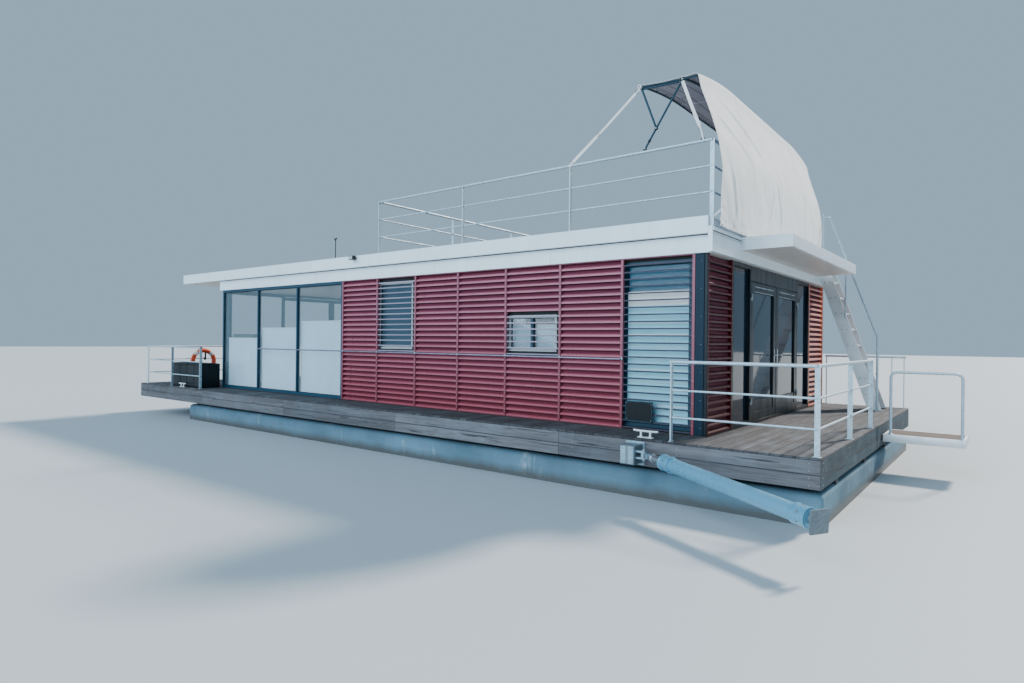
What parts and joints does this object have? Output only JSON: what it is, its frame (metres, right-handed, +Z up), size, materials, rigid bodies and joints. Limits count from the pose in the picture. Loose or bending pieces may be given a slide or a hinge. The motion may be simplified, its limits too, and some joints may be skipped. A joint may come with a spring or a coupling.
{
  "type": "houseboat",
  "caption": "Flat-roofed glazed and louvred cabin on a rectangular pontoon, with railed terraces at both ends and on the roof, a roof stair, a sun canopy, a mooring arm and a gangway.",
  "frame": {"origin": "middle of the pontoon's flat bottom; the waterline is 0.80 m above it", "axes": "+X towards the boarding end, +Y towards the far side (the side with the roof stair), +Z up"},
  "size_m": [18.19, 8.8334, 6.5703],
  "materials": {
    "concrete": "matte",
    "timber": "weathered",
    "floor": "satin",
    "louvre": "satin",
    "white": "satin",
    "frame": "satin",
    "glazed": "gloss",
    "galvanised": "satin",
    "aluminium": "satin",
    "steel": "bright",
    "canopy_tube": "satin",
    "fabric": "matte",
    "black": "matte",
    "orange": "satin"
  },
  "bodies": {
    "boat": {"pontoon": "concrete", "deck_frame": "timber", "deck_boards": "timber", "cabin_floor": "floor", "cleat_near_boarding": "white", "cleat_near_lake": "white", "cleat_far_boarding": "white", "cleat_far_lake": "white", "wall_near": "white", "wall_far": "white", "window_tall_near": "glazed", "window_small_near": "glazed", "window_middle_near": "glazed", "window_tall_far": "glazed", "window_small_far": "glazed", "window_middle_far": "glazed", "louvre_strips_near": "louvre", "louvre_strips_far": "louvre", "louvres_near": "louvre", "louvres_far": "louvre", "louvres_end_near": "louvre", "louvres_end_far": "louvre", "end_wall_near": "frame", "end_wall_far": "frame", "door_screen": "glazed", "glazing_near": "glazed", "glazing_far": "glazed", "lake_screen": "glazed", "roof_lower": "white", "roof_upper": "white", "roof_boards": "timber", "porch_awning": "white", "railing_boarding": "galvanised", "railing_boarding_far": "galvanised", "railing_lake": "galvanised", "railing_roof_near": "galvanised", "railing_roof_far": "galvanised", "grab_rail_near": "galvanised", "grab_rail_far": "galvanised", "roof_stair": "aluminium", "stair_handrail": "aluminium", "canopy_frame": "canopy_tube", "canopy_stay_near": "fabric", "canopy_stay_far": "fabric", "canopy_cloth": "fabric", "arm_bracket": "steel", "locker": "black", "lifebuoy": "orange", "name_board": "black", "sensor_mast": "black", "spotlight": "black"},
    "near_boarding_door": {"door_near": "glazed"},
    "far_boarding_door": {"door_far": "glazed"},
    "near_lake_door": {"lake_door_near": "glazed"},
    "far_lake_door": {"lake_door_far": "glazed"},
    "knuckle": {"arm_knuckle": "steel"},
    "rod": {"arm_rod": "steel"},
    "tube": {"arm_tube": "steel"},
    "gangway_platform": {"gangway": "galvanised"},
    "lid": {"locker_lid": "black"}
  },
  "joints": [
    {"name": "near_boarding_door_hinge", "type": "hinge", "parent": "boat", "child": "near_boarding_door", "pos_m": [5.803, -1.167, 2.7], "axis": [0, 0, 1], "range_deg": [-100, 0]},
    {"name": "far_boarding_door_hinge", "type": "hinge", "parent": "boat", "child": "far_boarding_door", "pos_m": [5.803, 1.427, 2.7], "axis": [0, 0, 1], "range_deg": [0, 100]},
    {"name": "near_lake_door_slide", "type": "slide", "parent": "boat", "child": "near_lake_door", "axis": [0, -1, 0], "range_m": [0, 1.44]},
    {"name": "far_lake_door_slide", "type": "slide", "parent": "boat", "child": "far_lake_door", "axis": [0, 1, 0], "range_m": [0, 1.44]},
    {"name": "arm_swing", "type": "hinge", "parent": "boat", "child": "knuckle", "pos_m": [5.313, -3.79, 1.425], "axis": [0, 0, 1], "range_deg": [-20, 20]},
    {"name": "arm_pitch", "type": "hinge", "parent": "knuckle", "child": "rod", "pos_m": [5.3784, -3.8267, 1.425], "axis": [-0.4894, -0.8721, 0], "range_deg": [-8, 20]},
    {"name": "arm_extension", "type": "slide", "parent": "rod", "child": "tube", "axis": [0.8709, -0.4887, -0.0511], "range_m": [-0.12, 0.12]},
    {"name": "gangway_hinge", "type": "hinge", "parent": "boat", "child": "gangway_platform", "pos_m": [7.35, 0.705, 1.43], "axis": [0, -1, 0], "range_deg": [0, 35]},
    {"name": "locker_lid_hinge", "type": "hinge", "parent": "boat", "child": "lid", "pos_m": [-7.4925, -2.978, 2.18], "axis": [-1, 0, 0], "range_deg": [0, 95]}
  ]
}
